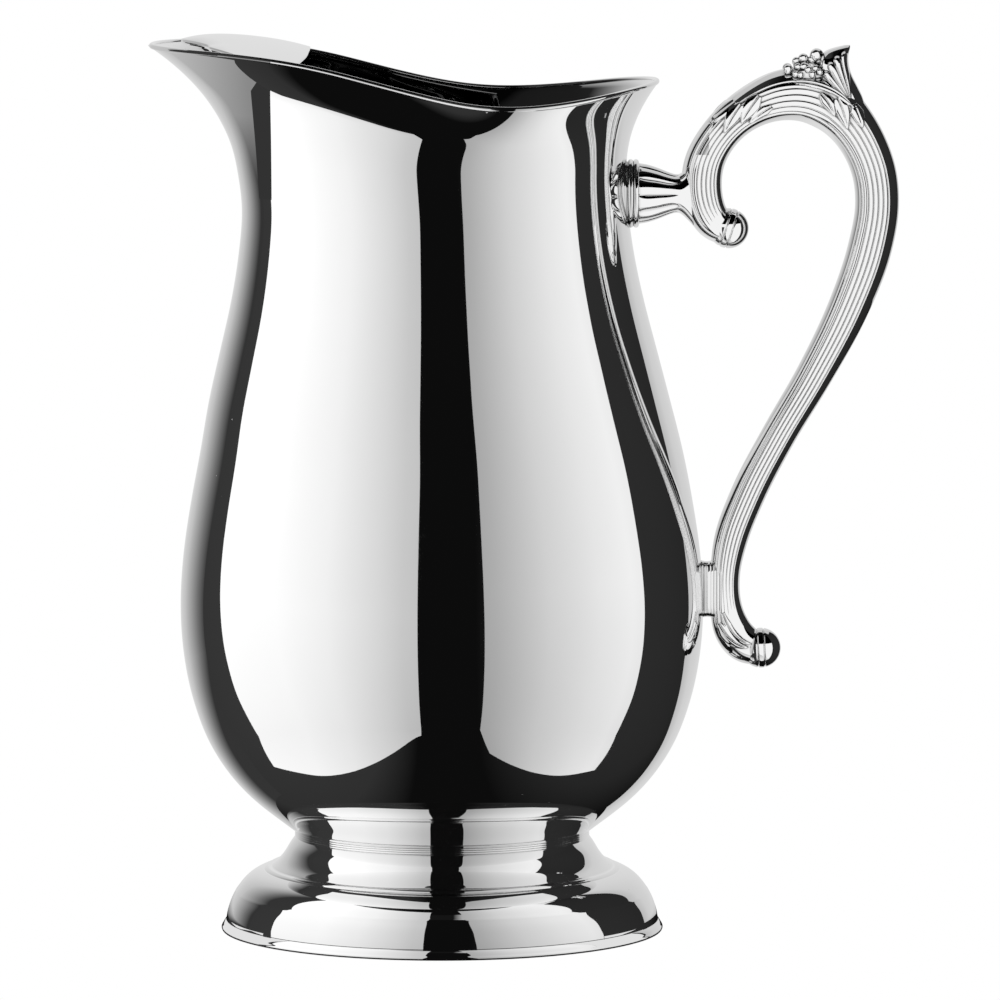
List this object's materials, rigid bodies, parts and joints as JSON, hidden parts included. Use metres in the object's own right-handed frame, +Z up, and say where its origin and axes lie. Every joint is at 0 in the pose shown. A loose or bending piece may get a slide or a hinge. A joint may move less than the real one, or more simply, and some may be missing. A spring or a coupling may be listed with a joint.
{
  "type": "water pitcher",
  "caption": "Polished silver-plated water pitcher: pear-shaped body with drawn spout and ice guard, turned pedestal foot, cast scroll handle with leaf ornament.",
  "frame": {"origin": "centre of the foot on the table plane", "axes": "+Z up, +X towards the handle, -X towards the spout, Y across; the XZ plane is the plane of symmetry"},
  "size_m": [0.1996, 0.1386, 0.2387],
  "materials": {
    "spun_silver": "polished",
    "cast_silver": "polished"
  },
  "bodies": {
    "root": {"body_shell": "spun_silver", "rim_wire": "spun_silver", "ice_guard": "spun_silver", "waist_collar": "spun_silver", "foot_shell": "spun_silver", "foot_edge_wire": "spun_silver", "handle_socket": "cast_silver", "socket_bead_ring": "cast_silver", "handle_scroll": "cast_silver", "upper_scroll_ball": "cast_silver", "lower_scroll_ball": "cast_silver", "thumb_leaf": "cast_silver", "berry_cluster": "cast_silver", "shoulder_leaf": "cast_silver", "grip_leaf": "cast_silver", "lower_leaf": "cast_silver", "lower_pad": "cast_silver"}
  },
  "joints": []
}
